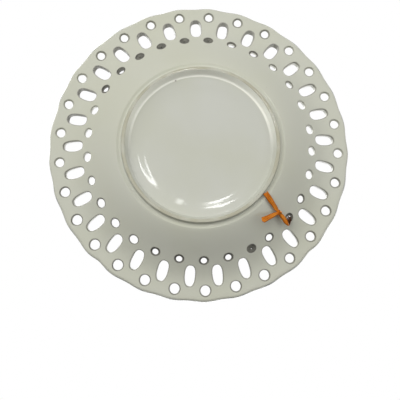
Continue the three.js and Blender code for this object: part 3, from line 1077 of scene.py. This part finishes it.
def linear(red, green, blue):
    """A colour written as on a screen, 0 to 255, as the linear values that shaders take."""
    def channel(value):
        value /= 255
        return value / 12.92 if value <= 0.04045 else ((value + 0.055) / 1.055) ** 2.4
    return channel(red), channel(green), channel(blue), 1.0


print("a mid grey of 188 is", round(linear(188, 188, 188)[0], 2), "in linear values")

# %% [markdown]
# ## A group for soft, cloudy changes of tone
# Fired clay, raffia and a painted floor all change tone in soft clouds. One node group does this
# for all of them: it mixes two colours by a noise, and gives the noise out as a mask too, so that
# a material can let its roughness follow the same clouds.

# %% Group of clouds
CLOUD_BORDERS = (0.3, 0.7)


def new_group(name, inputs, outputs):
    group = bpy.data.node_groups.new(name, "ShaderNodeTree")
    for socket_name, kind, value in inputs:
        socket = group.interface.new_socket(name=socket_name, in_out="INPUT", socket_type=kind)
        socket.default_value = value
    for socket_name, kind in outputs:
        group.interface.new_socket(name=socket_name, in_out="OUTPUT", socket_type=kind)
    return group, group.nodes.new("NodeGroupInput"), group.nodes.new("NodeGroupOutput")


clouds, clouds_in, clouds_out = new_group(
    "cloudy_tone",
    (
        ("Place", "NodeSocketVector", (0, 0, 0)),
        ("Clouds Per Metre", "NodeSocketFloat", 20.0),
        ("First Color", "NodeSocketColor", (0.5, 0.5, 0.5, 1)),
        ("Second Color", "NodeSocketColor", (0.6, 0.6, 0.6, 1)),
    ),
    (("Color", "NodeSocketColor"), ("Mask", "NodeSocketFloat")),
)
cloud_noise = clouds.nodes.new("ShaderNodeTexNoise")
cloud_noise.inputs["Detail"].default_value = 3
clouds.links.new(clouds_in.outputs["Place"], cloud_noise.inputs["Vector"])
clouds.links.new(clouds_in.outputs["Clouds Per Metre"], cloud_noise.inputs["Scale"])
cloud_mask = remap(clouds.nodes, clouds.links, cloud_noise.outputs["Fac"], *CLOUD_BORDERS)
clouds.links.new(cloud_mask, clouds_out.inputs["Mask"])
cloud_colour = mix_colours(
    clouds.nodes, clouds.links, cloud_mask,
    clouds_in.outputs["First Color"], clouds_in.outputs["Second Color"],
)
clouds.links.new(cloud_colour, clouds_out.inputs["Color"])
print("group", clouds.name, "with", len(clouds.interface.items_tree), "sockets")

# %% [markdown]
# ## Steps that the materials share
# Each material starts from the Principled shader, takes its place from the piece itself and
# gets its clouds, noise and bump through the same helpers. That keeps the materials short, and
# what makes each of them different stands out.

# %% Helpers for materials
def new_material(name):
    material = bpy.data.materials.new(name)
    material.use_nodes = True
    nodes, links = material.node_tree.nodes, material.node_tree.links
    return material, nodes, links, nodes["Principled BSDF"]


def own_place(nodes):
    """Coordinates that belong to the piece, so that its finish moves with it."""
    return nodes.new("ShaderNodeTexCoord").outputs["Object"]


def noted_value(nodes, name):
    """A value that the mesh carries at each of its corners."""
    node = nodes.new("ShaderNodeAttribute")
    node.attribute_name = name
    return node.outputs["Fac"]


def add_clouds(nodes, links, place, per_metre, first, second):
    node = nodes.new("ShaderNodeGroup")
    node.node_tree = clouds
    links.new(place, node.inputs["Place"])
    node.inputs["Clouds Per Metre"].default_value = per_metre
    node.inputs["First Color"].default_value = first
    node.inputs["Second Color"].default_value = second
    return node


def add_noise(nodes, links, place, scale, detail):
    node = nodes.new("ShaderNodeTexNoise")
    node.inputs["Scale"].default_value = scale
    node.inputs["Detail"].default_value = detail
    links.new(place, node.inputs["Vector"])
    return node.outputs["Fac"]


def add_bump(nodes, links, height, distance, strength, shader):
    bump = nodes.new("ShaderNodeBump")
    bump.inputs["Distance"].default_value = distance
    bump.inputs["Strength"].default_value = strength
    links.new(height, bump.inputs["Height"])
    links.new(bump.outputs["Normal"], shader.inputs["Normal"])


print("clouds change tone between", CLOUD_BORDERS[0], "and", CLOUD_BORDERS[1], "of the noise")

# %% [markdown]
# ## The glaze
# A clear glaze over grey-white clay is glossy, with tones that drift between warm and cool, and
# it is a little warmer on the wall than on the base. A yellowish film of wear lies along the foot.
# Inside the foot, on one side, the glaze is painted paler. This is painted light: it stands for
# light that is thrown back there by things round the plate, which this scene doesn't have. All of
# it is placed by the plate's own coordinates, as a radius, a height and a side.

# %% Tones of the glaze
WALL_STARTS = (61 * MM, 66 * MM)
WALL_WARMTH = 0.36
WORN_BELOW = (1.6 * MM, 0.3 * MM)
PAINTED_LIGHT_STARTS, PAINTED_LIGHT_ENDS = (55.6 * MM, 56.7 * MM), (60.7 * MM, 60.1 * MM)
PAINTED_LIGHT_BELOW = (9.5 * MM, 8.5 * MM)
PAINTED_LIGHT_SIDE = (10 * MM, -30 * MM)

glaze, nodes, links, shader = new_material("clear_glaze_on_pale_clay")
place = own_place(nodes)
split = nodes.new("ShaderNodeSeparateXYZ")
links.new(place, split.inputs[0])
flat_place = nodes.new("ShaderNodeCombineXYZ")
links.new(split.outputs["X"], flat_place.inputs["X"])
links.new(split.outputs["Y"], flat_place.inputs["Y"])
length = nodes.new("ShaderNodeVectorMath")
length.operation = "LENGTH"
links.new(flat_place.outputs[0], length.inputs[0])
radius = length.outputs["Value"]
height = split.outputs["Z"]

tone = add_clouds(nodes, links, place, 16, linear(200, 201, 186), linear(204, 205, 195))
warm_wall = remap(nodes, links, radius, *WALL_STARTS, 0, WALL_WARMTH)
colour = mix_colours(nodes, links, warm_wall, tone.outputs["Color"], linear(204, 204, 180))

patches = add_clouds(nodes, links, place, 55, (0, 0, 0, 1), (1, 1, 1, 1)).outputs["Mask"]
low_down = remap(nodes, links, height, *WORN_BELOW)
wear = remap(nodes, links, patches, 0, 1, 0.3, 0.8)
foot_wear = calculate(nodes, links, "MULTIPLY", low_down, wear)
colour = mix_colours(nodes, links, foot_wear, colour, linear(176, 172, 146))

# Painted light: the inner face of the foot is made paler on one side, where the lamps leave it in
# shade.
painted_light = remap(nodes, links, radius, *PAINTED_LIGHT_STARTS)
for value, limits in ((radius, PAINTED_LIGHT_ENDS), (height, PAINTED_LIGHT_BELOW), (split.outputs["Y"], PAINTED_LIGHT_SIDE)):
    painted_light = calculate(nodes, links, "MULTIPLY", painted_light, remap(nodes, links, value, *limits))
colour = mix_colours(nodes, links, painted_light, colour, linear(254, 254, 242))
print("tones of the glaze take", len(nodes), "nodes")

# %% [markdown]
# ## Specks, edge and holes
# The clay holds a few iron specks, which a Voronoi texture scatters: each of its cells has a
# middle and a chance to show a speck there. A thin grey-blue line runs along parts of the edge.
# Round and in the holes the tones that the mesh carries take over: a grey on the lips, which is
# painted shade, and a paler bore, which is painted light. Real glaze is never quite level either,
# so a very low, wide bump breaks the reflections a little.

# %% Marks and surface of the glaze
EDGE_LINE_AT = (123.6 * MM, 124.9 * MM)
SPECKS_PER_METRE = 52
SPECK_SIZE = (0.05, 0.022)
SPECK_CHANCE = (0.7, 0.95)
HOLE_ROUGHNESS = 0.4
WAVE_HEIGHT = 0.4 * MM
WAVE_STRENGTH = 0.04

at_edge = remap(nodes, links, radius, *EDGE_LINE_AT)
broken = remap(nodes, links, patches, 0.45, 0.8, 0, 0.55)
edge_line = calculate(nodes, links, "MULTIPLY", at_edge, broken)
colour = mix_colours(nodes, links, edge_line, colour, linear(150, 156, 166))

specks = nodes.new("ShaderNodeTexVoronoi")
specks.inputs["Scale"].default_value = SPECKS_PER_METRE
links.new(place, specks.inputs["Vector"])
speck_dot = remap(nodes, links, specks.outputs["Distance"], *SPECK_SIZE)
speck_pick = nodes.new("ShaderNodeSeparateColor")
links.new(specks.outputs["Color"], speck_pick.inputs[0])
speck_chance = remap(nodes, links, speck_pick.outputs[0], *SPECK_CHANCE, 0, 0.8)
speck_mask = calculate(nodes, links, "MULTIPLY", speck_dot, speck_chance)
colour = mix_colours(nodes, links, speck_mask, colour, linear(98, 88, 74))

# Painted shade: the lips are made grey. Painted light: the pale bores are made paler than the
# glaze.
painted_hole_shading = noted_value(nodes, "painted_hole_shading")
on_lip = remap(nodes, links, painted_hole_shading, 0, 1)
in_bore = remap(nodes, links, painted_hole_shading, 0, BORE_TONE)
colour = mix_colours(nodes, links, on_lip, colour, linear(112, 110, 101))
colour = mix_colours(nodes, links, in_bore, colour, linear(236, 236, 228))
links.new(colour, shader.inputs["Base Color"])

open_glaze = remap(nodes, links, tone.outputs["Mask"], 0, 1, 0.03, 0.06)
in_hole = calculate(nodes, links, "MAXIMUM", on_lip, in_bore)
dull = calculate(nodes, links, "MULTIPLY", in_hole, HOLE_ROUGHNESS)
roughness = calculate(nodes, links, "MAXIMUM", open_glaze, dull)
links.new(roughness, shader.inputs["Roughness"])
shader.inputs["IOR"].default_value = 1.5
waves = add_noise(nodes, links, place, 60, 1)
add_bump(nodes, links, waves, WAVE_HEIGHT, WAVE_STRENGTH, shader)
plate.data.materials.append(glaze)
print("glaze has", len(nodes), "nodes")

# %% [markdown]
# ## Painted shade in the dark holes
# The dark bores are painted grey: painted shade that stands for the shadow in and behind them.
# They are duller, and darkest where the mesh says so. A second material on those faces alone is
# simpler than one that knows both.

# %% Glaze inside the holes
DARK_TO_PALE = (0.9, 0.4)
GRAIN_HEIGHT = 0.1 * MM

dark_bore_shade, nodes, links, shader = new_material("painted_shade_in_holes")
# Painted shade: the bores of the dark holes are made dark grey.
tone = add_clouds(nodes, links, own_place(nodes), 300, linear(102, 101, 94), linear(128, 127, 117))
paler = remap(nodes, links, noted_value(nodes, "painted_hole_shading"), *DARK_TO_PALE)
colour = mix_colours(nodes, links, paler, tone.outputs["Color"], linear(168, 167, 158))
links.new(colour, shader.inputs["Base Color"])
roughness = remap(nodes, links, tone.outputs["Mask"], 0, 1, 0.32, 0.5)
links.new(roughness, shader.inputs["Roughness"])
shader.inputs["Specular IOR Level"].default_value = 0.2
add_bump(nodes, links, tone.outputs["Mask"], GRAIN_HEIGHT, 0.3, shader)
plate.data.materials.append(dark_bore_shade)
print("thin glaze has", len(nodes), "nodes")

# %% [markdown]
# ## The ribbon's fibres
# Dyed raffia is bright and satiny, with fine streaks of lighter and darker orange along its
# length. Its borders are painted darker: painted shade where the curled ribbon turns away from
# the light. The strands carry their own map, which runs along the ribbon one way and across it
# the other. A noise that is stretched along that map makes the streaks, whatever way the ribbon
# turns. Behind the fold the tone sinks to a dark painted shade, where the mesh notes it.

# %% Ribbon material
STREAK_STRETCH = (5, 16, 1)
FIBRE_HEIGHT = 0.12 * MM

raffia, nodes, links, shader = new_material("dyed_raffia")
along_map = nodes.new("ShaderNodeUVMap")
along_map.uv_map = "along_and_across"
stretch = nodes.new("ShaderNodeMapping")
stretch.inputs["Scale"].default_value = STREAK_STRETCH
links.new(along_map.outputs["UV"], stretch.inputs["Vector"])
streaks = add_noise(nodes, links, stretch.outputs["Vector"], 1, 4)
base = add_clouds(nodes, links, own_place(nodes), 160, linear(192, 98, 6), linear(214, 122, 18))
light = remap(nodes, links, streaks, 0.5, 0.64, 0, 0.9)
dark = remap(nodes, links, streaks, 0.47, 0.34, 0, 0.9)
colour = mix_colours(nodes, links, light, base.outputs["Color"], linear(250, 176, 84))
colour = mix_colours(nodes, links, dark, colour, linear(116, 56, 4))

# Painted shade: the borders of the ribbon are made darker, where its curl turns them from the
# light.
across = nodes.new("ShaderNodeSeparateXYZ")
links.new(along_map.outputs["UV"], across.inputs[0])
off_middle = calculate(nodes, links, "SUBTRACT", across.outputs["Y"], 0.5)
off_middle = calculate(nodes, links, "ABSOLUTE", off_middle, 0)
border = remap(nodes, links, off_middle, 0.3, 0.5, 0, 0.7)
colour = mix_colours(nodes, links, border, colour, linear(150, 78, 8))
# Painted shade: the ribbon behind the fold is made dark, where it lies in shadow.
behind_fold = remap(nodes, links, noted_value(nodes, "behind_fold"), 0, 1, 0, 0.85)
colour = mix_colours(nodes, links, behind_fold, colour, linear(52, 40, 36))
links.new(colour, shader.inputs["Base Color"])
links.new(remap(nodes, links, streaks, 0.3, 0.7, 0.7, 0.5), shader.inputs["Roughness"])
shader.inputs["Specular IOR Level"].default_value = 0.25
add_bump(nodes, links, streaks, FIBRE_HEIGHT, 0.8, shader)
for piece in (long_strand, short_strand, ribbon_knot):
    piece.data.materials.append(raffia)
print("raffia has", len(nodes), "nodes")

# %% [markdown]
# ## Floor
# The plate stands on a plain pale floor. The picture is taken from under it, so the floor is seen
# from above only: its back is clear, and it stops no light.

# %% Floor
FLOOR_RADIUS = 2.5
FLOOR_GAP = 0.1 * MM

floor_mesh = bpy.data.meshes.new("floor")
shape = bmesh.new()
bmesh.ops.create_circle(shape, cap_ends=True, segments=96, radius=FLOOR_RADIUS)
shape.to_mesh(floor_mesh)
shape.free()
floor = bpy.data.objects.new("floor", floor_mesh)
floor.location.z = -FLOOR_GAP
bpy.context.scene.collection.objects.link(floor)
paint, nodes, links, shader = new_material("pale_floor_paint")
paint_tone = add_clouds(
    nodes, links, own_place(nodes), 6, linear(236, 236, 234), linear(240, 240, 239),
)
links.new(paint_tone.outputs["Color"], shader.inputs["Base Color"])
shader.inputs["Roughness"].default_value = 0.9
shader.inputs["Specular IOR Level"].default_value = 0.1
clear = nodes.new("ShaderNodeBsdfTransparent")
side = nodes.new("ShaderNodeMixShader")
links.new(nodes.new("ShaderNodeNewGeometry").outputs["Backfacing"], side.inputs[0])
links.new(shader.outputs[0], side.inputs[1])
links.new(clear.outputs[0], side.inputs[2])
links.new(side.outputs[0], nodes["Material Output"].inputs["Surface"])
floor_mesh.materials.append(paint)
floor.visible_shadow = False
floor.visible_diffuse = False
floor.visible_glossy = False
print("floor faces up:", floor_mesh.polygons[0].normal.z > 0)

# %% [markdown]
# ## World
# The background has to be pure white, but a white world would also light the plate from all round
# and leave it flat. The kind of ray tells the two apart: the camera, and what mirrors or passes
# light, see white, and every other ray finds a much weaker light.

# %% White world with weak light
AMBIENT = 0.03

world = bpy.data.worlds.new("studio")
bpy.context.scene.world = world
world.use_nodes = True
nodes, links = world.node_tree.nodes, world.node_tree.links
sky = nodes["Background"]
sky.inputs["Color"].default_value = (1, 1, 1, 1)
ray = nodes.new("ShaderNodeLightPath").outputs
seen = calculate(nodes, links, "MAXIMUM", ray["Is Camera Ray"], ray["Is Glossy Ray"])
seen = calculate(nodes, links, "MAXIMUM", seen, ray["Is Transmission Ray"])
strength = nodes.new("ShaderNodeMapRange")
links.new(seen, strength.inputs["Value"])
strength.inputs["To Min"].default_value = AMBIENT
strength.inputs["To Max"].default_value = 1.0
links.new(strength.outputs["Result"], sky.inputs["Strength"])
print("world lights the plate at", AMBIENT)

# %% [markdown]
# ## Soft boxes
# The light in the picture is soft and comes mostly from one side. Large area lamps give that:
# three below the plate for its back, and three above it for its front. The low ones are left out
# of reflections, because a glossy glaze would mirror each as a bright square. A lamp's energy
# here grows with the square of its distance, so moving one changes how soft it is, not how much
# light it gives.

# %% Soft boxes below and above
BOX_DISTANCE = 2.0


def new_lamp(name, location, size, share, distance):
    """An area lamp. share is how much of a white surface's full tone it gives at that distance."""
    data = bpy.data.lights.new(name, "AREA")
    data.shape = "RECTANGLE"
    data.size, data.size_y = size
    data.energy = share * math.pi ** 2 * distance ** 2
    lamp = bpy.data.objects.new(name, data)
    lamp.location = location
    bpy.context.scene.collection.objects.link(lamp)
    return lamp


def soft_box(name, towards, size, share, distance=BOX_DISTANCE):
    """A lamp that faces the plate."""
    direction = Vector(towards).normalized()
    lamp = new_lamp(name, direction * distance, size, share, distance)
    lamp.rotation_mode = "QUATERNION"
    lamp.rotation_quaternion = direction.to_track_quat("Z", "Y")
    return lamp


low_boxes = [
    soft_box("low_key", (-0.55, -0.31, -0.82), (2.0, 2.2), 1.02),
    soft_box("low_fill", (0.42, -0.42, -0.8), (1.6, 1.6), 0.24),
    soft_box("side_fill", (0.92, 0, -0.38), (1.4, 1.4), 0.3),
]
for lamp in low_boxes:
    lamp.visible_glossy = False
soft_box("high_key", (-0.35, -0.45, 0.85), (1.2, 1.2), 0.5, 1.7)
soft_box("high_back", (0.1, 0.62, 0.78), (1.4, 1.0), 0.36)
soft_box("high_fill", (0.7, 0.3, 0.6), (1.2, 0.9), 0.12)
print("soft boxes below the plate:", len(low_boxes))

# %% [markdown]
# ## Windows
# The glossy base mirrors the windows of the room, and its dish draws them out into thin bright
# arcs. Three small panes low under the plate stand for them. The place of each follows from where
# its arc lies and how much the base is tilted there.

# %% Windows under the plate
WINDOW_DEPTH = 1.6


def window(name, x, y, size, turn, share):
    """A small bright pane that lies level under the plate and faces up."""
    place = Vector((x, y, -WINDOW_DEPTH))
    pane = new_lamp(name, place, size, share, place.length)
    pane.rotation_euler = (math.pi, 0, math.radians(turn))
    return pane


window("window_side", 0.197, -0.45, (0.024, 0.12), 19, 0.0056)
window("window_front", 0.013, -0.516, (0.052, 0.074), 26, 0.0068)
window("window_gap", 0.122, -0.534, (0.008, 0.02), 0, 0.0006)
bpy.context.scene.view_settings.view_transform = "Standard"
